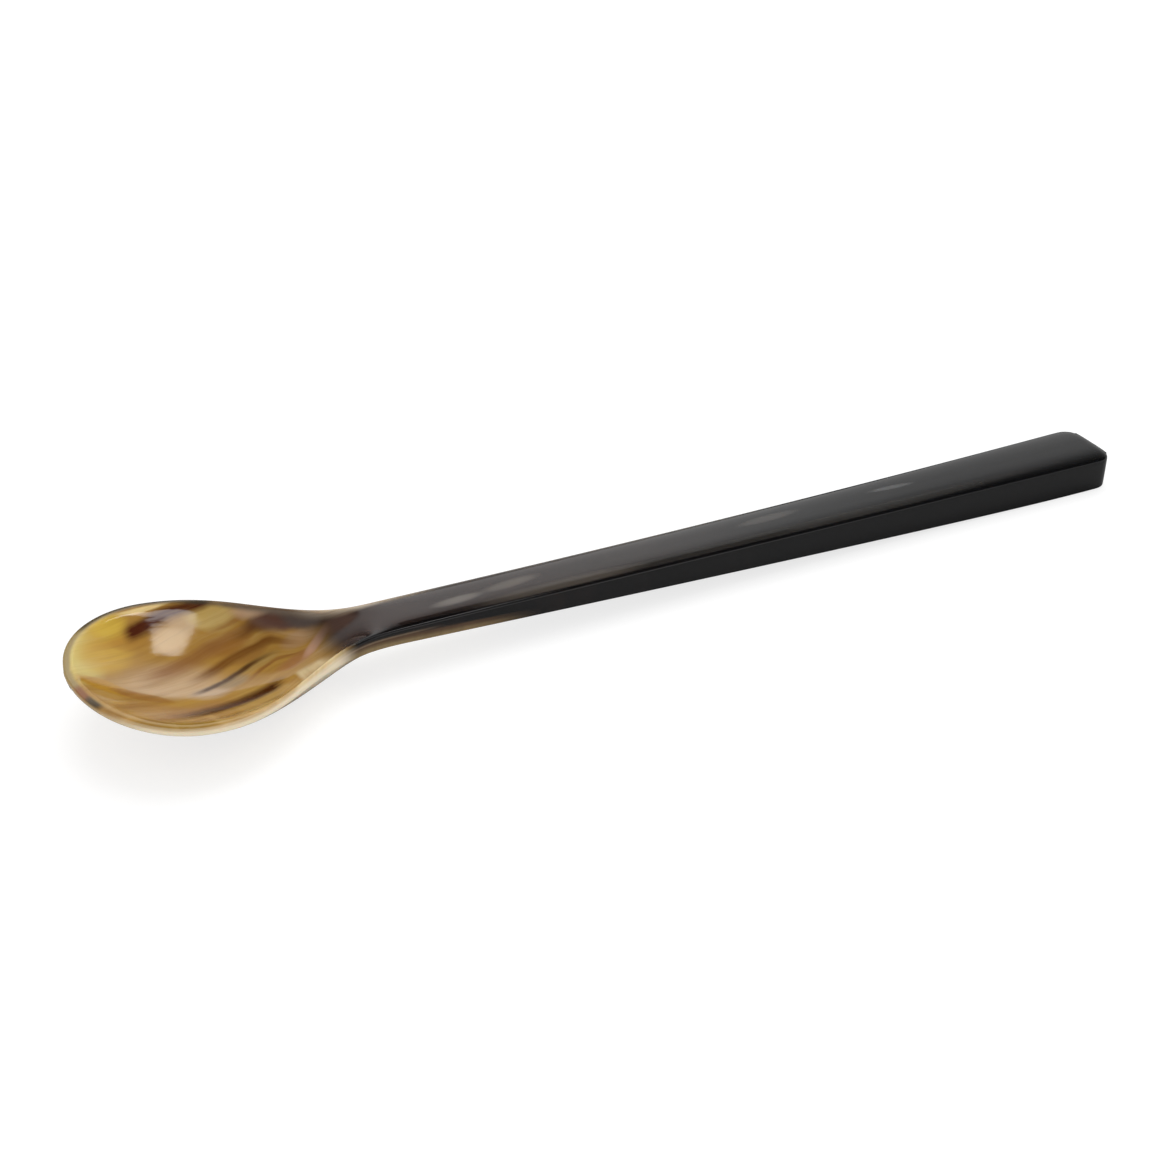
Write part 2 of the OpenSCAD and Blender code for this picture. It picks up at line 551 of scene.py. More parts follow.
    def measure(
        self, bench: Workbench, rows: list[dict[Strip, list]], stations: list[float]
    ) -> None:
        """Writes on each point how far it lies from the outer edge of the top.

        Args:
            bench: The tools, open on the shaped board.
            rows: The board's points by row and strip.
            stations: Distance of each row from the tip.
        """
        form = self.form
        tag = bench.mesh.verts.layers.float[RIM_WAY]
        steps = self.outline_steps
        along = [form.spoon_l * (i / steps) ** self.outline_spread for i in range(steps + 1)]
        outline = [(s - form.spoon_l / 2, form.half_w(s)) for s in along]
        for row, s in zip(rows, stations):
            side = form.side_z(s) - form.top_z(s)
            for strip in Strip:
                for point in row[strip]:
                    x, y = point.co.x / MM, abs(point.co.y) / MM
                    inset = min(math.hypot(x - a, y - b) for a, b in outline)
                    point[tag] = {
                        Strip.HOLLOW: inset,
                        Strip.RIM: 0.0,
                        Strip.SIDE: side,
                        Strip.BELLY: side - inset,
                    }[strip]

    def outer_edge(self, bench: Workbench, rows: int) -> Callable[[object], bool]:
        """Makes the test for the edges round the outline, above and below.

        Args:
            bench: The tools, open on the shaped board.
            rows: Number of rows of points across the board.

        Returns:
            The test, which takes an edge.
        """
        row_tag = bench.mesh.verts.layers.int["row"]
        column_tag = bench.mesh.verts.layers.int["column"]
        ends = (0, rows - 1)
        side = self.half_columns + 1

        def wanted(edge: object) -> bool:
            """Says whether an edge runs along the outline.

            Args:
                edge: An edge of the mesh.

            Returns:
                True if it does.
            """
            a, b = edge.verts
            same_row = a[row_tag] == b[row_tag]
            same_column = a[column_tag] == b[column_tag]
            if same_row and same_column:
                return False
            if same_row:
                return a[row_tag] in ends
            return abs(a[column_tag]) == side and same_column

        return wanted

    def build(self) -> bpy.types.Object:
        """Models the spoon.

        Returns:
            The finished piece, in its place.
        """
        stations = self.stations()
        count = len(stations)
        piece = self.lay_board(count)
        bench = Workbench(piece)
        self.mark(bench, count)
        bpy.ops.mesh.select_all(action="SELECT")
        down = {"value": (0, 0, -self.board_t * MM)}
        bpy.ops.mesh.extrude_region_move(TRANSFORM_OT_translate=down)
        bench.refresh()
        bpy.ops.mesh.select_all(action="DESELECT")
        rows = self.strips(bench, count)
        self.press(bench, Strip.HOLLOW, rows)
        self.press(bench, Strip.BELLY, rows)
        for index, s in enumerate(stations):
            self.place_row(bench, rows[index], s, front=index == 0)
        self.measure(bench, rows, stations)
        rounded = bench.pick_edges(self.outer_edge(bench, count))
        LOG.info("rounding %d edges round the outline", rounded)
        bench.round_edges(self.edge_round, self.round_steps)
        bench.close()
        smooth = piece.modifiers.new("smooth", "SUBSURF")
        smooth.levels = self.smooth_levels
        smooth.render_levels = self.smooth_levels
        bpy.ops.object.modifier_apply(modifier=smooth.name)
        bpy.ops.object.shade_smooth()
        return piece


class Shade:
    """One output in a node tree, with the arithmetic of Python."""

    def __init__(self, tree: "Nodes", socket: bpy.types.NodeSocket) -> None:
        """Wraps an output of a node of this tree."""
        self.tree = tree
        self.socket = socket

    def maths(self, operation: str, *others: "Shade | float") -> "Shade":
        """Adds a Math node with this value first."""
        return self.tree.add("ShaderNodeMath", {"operation": operation}, [self, *others])

    def turned(self, operation: str, other: float) -> "Shade":
        """Adds a Math node with this value second."""
        return self.tree.add("ShaderNodeMath", {"operation": operation}, [other, self])

    def __add__(self, other: "Shade | float") -> "Shade":
        """Returns this plus other."""
        return self.maths("ADD", other)

    __radd__ = __add__

    def __mul__(self, other: "Shade | float") -> "Shade":
        """Returns this times other."""
        return self.maths("MULTIPLY", other)

    __rmul__ = __mul__

    def __sub__(self, other: "Shade | float") -> "Shade":
        """Returns this minus other."""
        return self.maths("SUBTRACT", other)

    def __rsub__(self, other: float) -> "Shade":
        """Returns other minus this."""
        return self.turned("SUBTRACT", other)

    def __truediv__(self, other: "Shade | float") -> "Shade":
        """Returns this divided by other."""
        return self.maths("DIVIDE", other)

    def __rtruediv__(self, other: float) -> "Shade":
        """Returns other divided by this."""
        return self.turned("DIVIDE", other)

    def __abs__(self) -> "Shade":
        """Returns the size of this value without its sign."""
        return self.maths("ABSOLUTE")

    def higher(self, other: "Shade | float") -> "Shade":
        """Returns the higher of two values."""
        return self.maths("MAXIMUM", other)

    def lower(self, other: "Shade | float") -> "Shade":
        """Returns the lower of two values."""
        return self.maths("MINIMUM", other)

    def step(self, off: float, full: float) -> "Shade":
        """Fades smoothly from 0 at one number to 1 at another.

        Args:
            off: Where the fade is 0.
            full: Where it is 1, above off or below it.

        Returns:
            The fade, held at 0 and 1 past its ends.
        """
        settings = {"interpolation_type": "SMOOTHSTEP"}
        ends = [off, full, 0.0, 1.0] if off <= full else [full, off, 1.0, 0.0]
        return self.tree.add("ShaderNodeMapRange", settings, [self, *ends])


# A link, a linear colour or the code of a display colour.
Paint = Shade | Colour | str


@dataclass(frozen=True)
class Weave:
    """A cloudy noise: how fast it runs each way, its scale and its layers."""

    along: float
    across: float
    scale: float = 1.0
    layers: float = 2.0


@dataclass(frozen=True)
class Tint:
    """A colour that comes in as a value goes from one number to another."""

    off: float
    full: float
    strength: float
    colour: str


@dataclass
class Nodes:
    """The node tree of one material or of the world."""

    tree: bpy.types.NodeTree

    def node(
        self, kind: str, settings: dict[str, object], inputs: dict[str | int, object]
    ) -> bpy.types.Node:
        """Adds any node.

        Args:
            kind: The node's type.
            settings: Its own settings, which are set first.
            inputs: Values or links by the name or number of the socket.

        Returns:
            The new node.
        """
        made = self.tree.nodes.new(kind)
        for name, value in settings.items():
            setattr(made, name, value)
        for key, value in inputs.items():
            if isinstance(value, Shade):
                self.tree.links.new(value.socket, made.inputs[key])
            else:
                made.inputs[key].default_value = value
        return made

    def add(self, kind: str, settings: dict[str, object], inputs: list | dict) -> Shade:
        """Adds any node and returns its first live output.

        Args:
            kind: The node's type.
            settings: Its own settings.
            inputs: Values or links, in the order of the sockets or by name.

        Returns:
            The first output that is switched on.
        """
        if isinstance(inputs, list):
            inputs = dict(enumerate(inputs))
        made = self.node(kind, settings, inputs)
        live = next(output for output in made.outputs if output.enabled)
        return Shade(self, live)

    def output(self, made: bpy.types.Node, name: str) -> Shade:
        """Wraps a named output of a node."""
        return Shade(self, made.outputs[name])

    def noise(self, x: Shade, y: Shade, weave: Weave) -> Shade:
        """Adds a cloudy noise over a plane.

        Args:
            x: First coordinate.
            y: Second coordinate.
            weave: How the noise runs.

        Returns:
            Values round a half.
        """
        place = self.add("ShaderNodeCombineXYZ", {}, [x * weave.along, y * weave.across, 0.0])
        inputs = {"Vector": place, "Scale": weave.scale, "Detail": weave.layers}
        return self.add("ShaderNodeTexNoise", {"noise_dimensions": "2D"}, inputs)

    def swing(self, x: Shade, y: Shade, weave: Weave) -> Shade:
        """Adds a cloudy noise that swings round 0."""
        return self.noise(x, y, weave) - 0.5

    def mix(self, share: Shade | float, first: Paint, second: Paint) -> Shade:
        """Mixes two colours: the first at 0, the second at 1.

        Args:
            share: How much of the second colour there is.
            first: The first colour.
            second: The second colour.

        Returns:
            The mixed colour.
        """
        inputs: dict[str | int, object] = {"Factor": share}
        for number, colour in ((FIRST_COLOUR, first), (SECOND_COLOUR, second)):
            if isinstance(colour, str):
                colour = linear(colour)
            inputs[number] = colour if isinstance(colour, Shade) else (*colour, 1.0)
        settings = {"data_type": "RGBA", "blend_type": "MIX"}
        made = self.node("ShaderNodeMix", settings, inputs)
        return Shade(self, made.outputs[MIXED_COLOUR])

    def tint(self, value: Shade, tint: Tint, colour: Paint, where: Shade | float = 1) -> Shade:
        """Lays a tint over a colour.

        Args:
            value: The value that brings the tint in.
            tint: The tint.
            colour: What it lies on.
            where: Mask of the area that takes it.

        Returns:
            The tinted colour.
        """
        share = value.step(tint.off, tint.full) * where * tint.strength
        return self.mix(share, colour, tint.colour)


def new_material(name: str) -> tuple[bpy.types.Material, Nodes]:
    """Makes an empty material with nodes.

    Args:
        name: The material's name.

    Returns:
        The material and its node tree.
    """
    material = bpy.data.materials.new(name)
    material.use_nodes = True
    material.node_tree.nodes.clear()
    return material, Nodes(material.node_tree)


def mirror_material(name: str, strength: float) -> bpy.types.Material:
    """Makes a material that shows in reflections only, and is clear to all else.

    Args:
        name: The material's name.
        strength: How brightly it glows there. 0 is black.

    Returns:
        The material.
    """
    material, nodes = new_material(name)
    path = nodes.node("ShaderNodeLightPath", {}, {})
    mirrored = nodes.output(path, "Is Glossy Ray")
    clear = nodes.add("ShaderNodeBsdfTransparent", {}, {})
    glow = nodes.add("ShaderNodeEmission", {}, {"Strength": strength})
    both = nodes.add("ShaderNodeMixShader", {}, [mirrored, clear, glow])
    nodes.node("ShaderNodeOutputMaterial", {}, {"Surface": both})
    return material


@dataclass(frozen=True)
class Streak:
    """A soft streak of colour that runs along the grain of the horn.

    Its place is across the grain and its ends are along the spoon, in
    millimetres. The lean moves it across the grain for each millimetre, and
    the core is the share of its half width that has the full colour.
    """

    across: float
    half: float
    start: float
    end: float
    colour: str
    strength: float = 1.0
    fade_in: float = 3.0
    fade_out: float = 3.0
    lean: float = 0.0
    core: float = 0.15


@dataclass(frozen=True)
class Patch:
    """A soft oval cloud of colour, in millimetres and degrees."""

    x: float
    y: float
    long: float
    wide: float
    colour: str
    turn: float = 0.0
    strength: float = 1.0
    core: float = 0.2


@dataclass(frozen=True)
class Band:
    """A band of colour with soft bounds, in millimetres.

    Each bound says where the colour is off and where it is full: along the
    spoon, across it, and by the way from the outer edge of its top, one bound
    inwards and one down the side.
    """

    colour: str
    strength: float = 1.0
    along: Span | None = None
    across: Span | None = None
    inner: Span | None = None
    under: Span | None = None


@dataclass(frozen=True)
class Spot:
    """Where a point of the horn lies: along, across and way, in millimetres.

    The way is the distance from the outer edge of the top, inwards above 0 and
    down the side below 0.
    """

    nodes: Nodes
    x: Shade
    y: Shade
    way: Shade

    def band_mask(self, band: Band) -> Shade:
        """Makes the mask of a band.

        Args:
            band: The band.

        Returns:
            Its strength where it is full, 0 outside.
        """
        bounds = (
            (self.x, band.along),
            (self.y, band.across),
            (self.way, band.inner),
            (self.way, band.under),
        )
        return math.prod((v.step(*span) for v, span in bounds if span), start=band.strength)

    def band(self, band: Band, colour: Shade) -> Shade:
        """Lays a band over a colour."""
        return self.nodes.mix(self.band_mask(band), colour, band.colour)

    def patch_mask(self, patch: Patch) -> Shade:
        """Makes the mask of one cloud of colour.

        Args:
            patch: The cloud.

        Returns:
            Its strength in the middle, 0 outside.
        """
        angle = math.radians(patch.turn)
        dx, dy = self.x - patch.x, self.y - patch.y
        long = (dx * math.cos(angle) + dy * math.sin(angle)) * (1 / patch.long)
        wide = (dy * math.cos(angle) - dx * math.sin(angle)) * (1 / patch.wide)
        return (long * long + wide * wide).step(1.0, patch.core**2) * patch.strength

    def patches(self, patches: tuple[Patch, ...], colour: Paint) -> Paint:
        """Lays clouds of colour over another colour, one after the other.

        Args:
            patches: The clouds.
            colour: What they lie on.

        Returns:
            The colour with its clouds.
        """
        for patch in patches:
            colour = self.nodes.mix(self.patch_mask(patch), colour, patch.colour)
        return colour

    def streak_mask(self, streak: Streak, grain: Shade) -> Shade:
        """Makes the mask of one streak.

        Args:
            streak: The streak.
            grain: Distance across the grain.

        Returns:
            Its strength in the middle, 0 outside.
        """
        place = grain - streak.across
        if streak.lean:
            place = place - (self.x - streak.start) * streak.lean
        middle = abs(place).step(streak.half, streak.half * streak.core)
        start = self.x.step(streak.start, streak.start + streak.fade_in)
        end = self.x.step(streak.end, streak.end - streak.fade_out)
        return middle * start * end * streak.strength


@dataclass(frozen=True)
class Crescent:
    """The cream crescent in front of the neck, with its own upright fibres: partly the horn's
    cream, partly a painted reflection of the pale wall.
    """

    cream: str = "CDB88E"
    shade: Tint = Tint(0.35, 0.7, 1.0, "BDA67A")
    fibre: Weave = Weave(0.9, 0.1)
    x: float = -45.0
    y: float = -1.5
    bow: float = 0.04
    front: Span = (-0.3, 0.4)
    top: Span = (0.1, -1.0)
    back: Span = (-41.0, -43.0)
    back_lean: float = 0.4

    def lay(self, spot: Spot, colour: Shade) -> Shade:
        """Lays the crescent over the figure.

        Args:
            spot: Where a point lies.
            colour: The figure so far.

        Returns:
            The colour with the crescent.
        """
        nodes, x, y = spot.nodes, spot.x, spot.y
        # Partly painted reflection: the crescent is made cream where the pale wall is mirrored.
        off = y - self.y
        inside = x - self.x + off * off * self.bow
        pale = nodes.tint(nodes.noise(inside, y, self.fibre), self.shade, self.cream)
        mask = inside.step(*self.front) * y.step(*self.top)
        mask = mask * (x + y * self.back_lean).step(*self.back)
        return nodes.mix(mask, colour, pale)


@dataclass(frozen=True)
class AmberEdgeAndPaintedGlow:
    """The outside of the bowl: an amber edge, and under it a painted glow for the light that
    comes through the thin wall.
    """

    amber: Band = Band("A88238", 0.5, along=(-46.0, -52.0), inner=(0.2, -0.2))
    # The colour of the painted glow on the thin wall.
    light: str = "F2E6CC"
    front: Span = (-6.0, -10.0)
    front_shift: float = 0.3
    top: Span = (0.3, -0.7)
    foot: Span = (-6.0, -2.4)
    tip: Span = (-69.0, -63.0)
    at_tip: float = 0.32
    gain: float = 0.6

    def lay(self, spot: Spot, colour: Shade) -> Shade:
        """Lays an amber edge and, under the rim, a pale painted glow.

        Args:
            spot: Where a point lies.
            colour: The figure so far.

        Returns:
            The colour, amber at the edge and painted paler below it.
        """
        colour = spot.band(self.amber, colour)
        # Painted light: the wall under the rim is made paler, for light shining through the thin
        # horn.
        shifted = spot.way - spot.y.step(*self.front) * self.front_shift
        thin = shifted.step(*self.top) * spot.way.step(*self.foot)
        pale = thin * (spot.x.step(*self.tip) * self.gain + self.at_tip)
        return spot.nodes.mix(pale, colour, self.light)


@dataclass(frozen=True)
class DarkHorn:
    """The dark horn of the handle: plum at the neck, brown past it, then black, with painted
    sheen and highlights on its edges and top, and painted shade at its near edge.
    """

    plum: str = "33241F"
    bark: str = "291F1C"
    night: str = "0A0A0B"
    to_bark: Span = (-40.0, -26.0)
    to_night: Span = (-22.0, 24.0)
    # Painted shade: the near half of the top darkens to black towards its near edge, over a
    # wider band at the neck.
    front_half: Span = (0.5, -0.5)
    front_neck_shade: Band = Band("0A0A0B", along=(-21.0, -27.0), inner=(1.6, 0.2))
    front_edge_shade: Band = Band("0A0A0B", inner=(0.7, 0.3))
    # Painted sheen: a grey band of light along the far edge of the top and side, fading out past
    # the middle, and a paler one near the neck.
    far_edge_sheen: Band = Band(
        "8C8780", 0.6, (34.0, 0.0), (0.5, 1.5), inner=(1.1, 0.3), under=(-0.8, -0.2)
    )
    neck_edge_sheen: Band = Band(
        "B4A48E", 1.0, (-24.0, -34.0), (0.5, 1.5), inner=(1.5, 0.2), under=(-3.0, -1.5)
    )
    side_x: float = -38.0
    side_lean: float = 0.05
    side_brown: Band = Band("5C4530", 0.9, along=(-15.0, -26.0), under=(-0.1, -0.6))
    side_tan: Band = Band("94805A", 1.0, along=(-15.0, -26.0), under=(-0.6, -1.9))
    # Painted highlight: a fine light line just below the near edge of the top, towards the neck.
    edge_glint_way: float = -0.5
    line: Band = Band("8E7862", 0.55, (-27.0, -32.0), (0.0, -1.0), inner=(0.28, 0.05))
    fibre: Tint = Tint(0.4, 0.8, 0.25, "33241F")
    fibre_reach: Span = (30.0, -30.0)
    # Grey blotches and streaks along the top: the horn's own marks, the paler grey ones partly
    # painted sheen.
    blotches_and_sheen: tuple[Patch, ...] = (
        Patch(-38.6, 2.2, 2.6, 1.3, "564239", -10, 0.7, 0.2),
        Patch(12.0, -2.9, 54.0, 1.2, "2C2A28", 0, 0.9, 0.4),
        Patch(-12.0, -2.5, 13.0, 1.2, "4A443E", 0, 0.9, 0.3),
        Patch(-25.0, -0.7, 4.0, 0.9, "6A645E", 4, 0.8, 0.1),
        Patch(-17.8, 0.1, 4.6, 1.0, "5A534C", 6, 0.8, 0.1),
        Patch(-6.0, 0.5, 9.0, 1.8, "221E1C", 0, 0.6, 0.1),
        Patch(18.4, 0.8, 5.6, 0.9, "45423F", 2, 0.8, 0.1),
        Patch(37.2, 0.9, 4.2, 0.55, "4E4E4E", -3, 0.8, 0.1),
    )

    def colour(self, spot: Spot, thread: Shade) -> Shade:
        """Makes the colour of the handle, with its painted sheen, highlights and shade.

        Args:
            spot: Where a point lies.
            thread: Fine fibres.

        Returns:
            The colour.
        """
        nodes, x, way = spot.nodes, spot.x, spot.way
        colour = nodes.mix(x.step(*self.to_bark), self.plum, self.bark)
        colour = nodes.mix(x.step(*self.to_night), colour, self.night)
        colour = spot.patches(self.blotches_and_sheen, colour)
        # Painted shade along the near edge of the top.
        front = spot.band_mask(self.front_neck_shade) + spot.band_mask(self.front_edge_shade)
        front = front.lower(1.0) * spot.y.step(*self.front_half)
        colour = nodes.mix(front, colour, self.front_edge_shade.colour)
        colour = spot.band(self.far_edge_sheen, colour)
        colour = spot.band(self.neck_edge_sheen, colour)
        side = replace(spot, way=way + (x - self.side_x) * self.side_lean)
        colour = side.band(self.side_brown, colour)
        colour = side.band(self.side_tan, colour)
        colour = replace(spot, way=abs(way - self.edge_glint_way)).band(self.line, colour)
        return nodes.tint(thread, self.fibre, colour, x.step(*self.fibre_reach))


@dataclass(frozen=True)
class HornFinish:
    """Polished horn: honey and amber with dark streaks, dark along the handle.

    The colours are darker than they look, because the pale wall of the studio is mirrored over
    most of the spoon. Places are in millimetres. A few highlights and reflections, a glow on the
    thin wall, and sheen and shade on the handle are painted into the colour.
    """

    honey: str = "A37C3A"
    crescent: Crescent = Crescent()
    amber_edge_and_glow: AmberEdgeAndPaintedGlow = AmberEdgeAndPaintedGlow()
    dark_horn: DarkHorn = DarkHorn()
    # The skin of the horn, and how deep light goes into it.
    roughness: float = 0.06
    roughness_change: float = 0.06
    polish: Weave = Weave(0.4, 2.5, layers=3.0)
    relief: Weave = Weave(0.25, 1.2)
    relief_strength: float = 0.25
    relief_mm: float = 0.02
    ior: float = 1.5
    depth_share: float = 0.4
    depth_reach: Colour = (1.0, 0.7, 0.45)
    depth_mm: float = 1.2
    # The grain: how it wavers, bends towards the neck and draws together there.
    waver: Weave = Weave(0.25, 0.25, 0.45)
    waver_along: float = 0.8
    waver_across: float = 0.9
    ripple: Weave = Weave(0.5, 0.9, 0.8)
    ripple_across: float = 0.25
    bend: float = 1.1
    slope: float = 0.354
    turn_at: float = -44.0
    turn_round: float = 1.5
    gather: Span = (-47.0, -36.0)
    gather_share: float = 2.0
    fibre: Weave = Weave(0.07, 0.9, layers=3.0)
    thread: Weave = Weave(0.12, 3.2)
    # Tints by the fibres, calm at the tip, and upright ones on the near wall.
    calm_tip: Span = (-66.0, -60.0)
    calm_share: float = 0.4
    amber_fibre: Tint = Tint(0.5, 0.78, 0.4, "86602A")
    cream_fibre: Tint = Tint(0.5, 0.25, 0.12, "CDB88E")
    amber_thread: Tint = Tint(0.45, 0.8, 0.22, "86602A")
    upright: Weave = Weave(0.6, 0.1, layers=1.0)
    upright_lean: float = 0.22
    upright_across: Span = (-5.0, -8.0)
    upright_along: Span = (-64.0, -58.0)
    upright_brown: Tint = Tint(0.5, 0.72, 0.2, "8A6428")
    upright_pale: Tint = Tint(0.5, 0.3, 0.3, "D0B070")
    # How much a streak is broken up by the fine fibres.
    streak_thread: float = 0.6
    streak_least: float = 0.72
    # The rim, with a painted highlight, a fine light line along its inner edge.
    rim_highlight_way: float = 0.8
    rim_painted_highlight: Band = Band("C8AE70", 0.35, across=(-2.0, -6.0), inner=(0.4, 0.0))
    rim_far: Span = (0.0, 6.0)
    rim_far_shift: float = 0.1
    rim_fade: Span = (1.15, 0.5)
    rim_strength: float = 0.9
    # Where the bowl's colours give way to the dark horn.
    neck: Span = (-42.6, -38.8)
    neck_lean: float = 0.12
    neck_waver: float = 1.2
    # Clouds, streaks across the grain, the bowl's shoulder and the rim.
    clouds: tuple[Patch, ...] = (
        Patch(-67.4, 3.6, 7.5, 2.9, "C6B264", 72, 1.0, 0.3),
        Patch(-64.6, 5.5, 6.0, 3.2, "BC9638", 60, 0.95, 0.3),
        Patch(-63.4, 9.9, 3.6, 2.0, "C6A644", 38, 0.95, 0.3),
        Patch(-61.5, 7.4, 3.0, 1.4, "A67A34", 20, 0.7, 0.2),
        Patch(-59.0, 0.8, 7.5, 4.2, "B4946A", 22, 1.0, 0.3),
        Patch(-55.0, -1.2, 3.4, 1.7, "B2987A", 25, 0.9, 0.3),
        Patch(-61.5, -6.6, 6.0, 2.8, "9C7646", -8, 0.9, 0.3),
        Patch(-66.3, -4.4, 2.4, 1.6, "AC8644", -40, 0.9, 0.3),
        Patch(-66.3, -1.7, 3.4, 1.6, "AC8028", -25, 1.0, 0.5),
        Patch(-62.8, -2.8, 3.8, 1.2, "976A2E", -12, 1.0, 0.5),
        Patch(-50.0, -5.6, 5.5, 5.5, "AC8C4D", 35, 0.9, 0.4),
        Patch(-46.9, -5.6, 2.2, 4.2, "B8975F", -15, 0.8, 0.3),
        Patch(-52.0, 0.8, 2.8, 1.2, "8C7450", 25, 0.9, 0.3),
        Patch(-50.4, 6.5, 3.8, 1.5, "94682E", 15, 1.0, 0.4),
        Patch(-48.6, 4.5, 3.4, 0.9, "8E6630", 15, 0.9, 0.3),
        Patch(-48.2, 3.1, 3.4, 0.8, "9C7C40", 12, 0.9, 0.3),
        Patch(-51.6, 9.8, 3.6, 1.9, "B89C5C", -18, 1.0, 0.4),
        Patch(-61.0, -11.7, 6.0, 1.9, "8E6C1C", -8, 1.0, 0.4),
        Patch(-56.6, -10.6, 2.6, 1.6, "967240", 8, 0.8, 0.3),
        Patch(-53.2, -10.8, 3.6, 2.0, "C8A468", 20, 0.9, 0.3),
        Patch(-44.2, 1.5, 3.2, 1.0, "9A6C42", 4, 0.9, 0.3),
        Patch(-43.0, 3.6, 2.8, 1.0, "A88660", -12, 0.9, 0.3),
        # Painted highlight: a thin cream line of light along the far rim, beside the soft box's
        # mirror image.
        Patch(-58.6, 12.15, 4.0, 0.5, "DCC48C", 9, 0.9, 0.3),
        # Partly painted reflection: a pale cloud where the soft box's mirror image lies in the
        # bowl.
        Patch(-56.9, 7.9, 2.7, 2.1, "BE9C68", 20, 0.8, 0.4),
        Patch(-51.0, -9.0, 4.2, 2.2, "E2C17E", 32, 0.9, 0.3),
    )
    streaks: tuple[Streak, ...] = (
        Streak(0.9, 2.0, -66.0, -51.0, "8C6648", 0.6, 6.0, 6.0),
        Streak(0.42, 1.12, -62.5, -45.8, "3C1A06", 1.0, 6.0, 2.8),
        Streak(3.70, 0.42, -58.0, -44.5, "523618", 0.95, 3.0, 5.5, 0.02),
        Streak(7.1, 1.1, -63.5, -47.0, "85592C", 0.85, 5.0, 6.0),
        Streak(5.3, 0.7, -58.0, -42.5, "72491C", 0.9, 5.0, 4.0),
        Streak(7.1, 0.85, -51.0, -45.0, "5E3A1E", 0.7, 4.0, 3.0),
        Streak(8.5, 0.45, -53.5, -44.0, "86582A", 0.6, 3.0, 3.0),
        Streak(2.55, 0.3, -51.5, -42.0, "80542A", 0.7, 3.0, 3.0, 0.09),
        Streak(11.2, 0.5, -67.5, -60.5, "A8782C", 0.5, 3.0, 3.0),
        Streak(11.45, 1.0, -62.4, -50.0, "4A200E", 1.0, 1.8, 2.0, 0.01),
    )
    shoulder: tuple[Patch, ...] = (
        Patch(-43.6, 5.9, 6.0, 1.3, "563220", -22, 1.0, 0.4),
        Patch(-41.0, 5.0, 4.4, 1.7, "4C3E36", -27, 0.95, 0.5),
        # Painted highlight: a small pinkish gleam at the heel, where the hollow turns up into
        # the handle.
        Patch(-41.4, 2.1, 2.6, 0.75, "BE9882", 22, 0.8, 0.1),
        Patch(-47.2, 8.4, 3.0, 0.9, "B89A7A", -25, 0.85, 0.1),
    )
    rim_clouds: tuple[Patch, ...] = (
        Patch(-69.0, 2.5, 4.0, 9.0, "96845C", -14, 1.0, 0.6),
        Patch(-62.0, 12.5, 8.0, 4.2, "4A4230", 22, 1.0, 0.6),
        Patch(-54.0, 13.0, 6.0, 3.0, "3E382C", -10, 1.0, 0.5),
        Patch(-45.5, 7.4, 8.0, 3.2, "66584A", -34, 1.0, 0.6),
        Patch(-69.0, -4.0, 2.2, 1.8, "84553A", -60, 1.0, 0.3),
        Patch(-68.1, -5.8, 1.7, 1.2, "3C3428", -55, 1.0, 0.3),
        Patch(-66.6, -8.0, 2.2, 1.3, "8E6A38", -50, 0.8, 0.3),
    )

    def grain(self, spot: Spot) -> Shade:
        """Follows the grain, which bends towards the neck.

        Args:
            spot: Where a point lies.

        Returns:
            Distance across the grain in millimetres.
        """
        x, y = spot.x, spot.y
        spread = y * (x.step(*self.gather) * self.gather_share + 1.0)
        level = (x + y * self.bend - self.turn_at) * self.slope
        return spread - level.maths("SMOOTH_MIN", 0.0, self.turn_round)

    def tints(self, spot: Spot, fibre: Shade, thread: Shade, colour: Shade) -> Shade:
        """Lays the tints of the fibres.

        Args:
            spot: Where a point lies.
            fibre: Broad fibres.
            thread: Fine fibres.
            colour: The figure so far.

        Returns:
            The tinted colour.
        """
        nodes, x, y = spot.nodes, spot.x, spot.y
        calm = x.step(*self.calm_tip) * (1 - self.calm_share) + self.calm_share
        colour = nodes.tint(fibre, self.amber_fibre, colour, calm)
        upright = nodes.noise(x + y * self.upright_lean, y, self.upright)
        near = y.step(*self.upright_across) * x.step(*self.upright_along)
        colour = nodes.tint(upright, self.upright_brown, colour, near)
        colour = nodes.tint(upright, self.upright_pale, colour, near)
        colour = nodes.tint(fibre, self.cream_fibre, colour)
        return nodes.tint(thread, self.amber_thread, colour)

    def rim(self, spot: Spot, wavy: Spot, colour: Shade) -> Shade:
        """Lays the rim, and a painted highlight along its inner edge.

        Args:
            spot: Where a point lies.
            wavy: The same, moved by the waver of the grain.
            colour: The figure so far.

        Returns:
            The colour with the rim.
        """
        rim = wavy.patches(self.rim_clouds, colour)
        # Painted highlight: a fine light line along the near rim's inner edge.
        line = replace(spot, way=abs(spot.way - self.rim_highlight_way))
        colour = line.band(self.rim_painted_highlight, colour)
        shifted = spot.way - spot.y.step(*self.rim_far) * self.rim_far_shift
        return spot.nodes.mix(shifted.step(*self.rim_fade) * self.rim_strength, colour, rim)

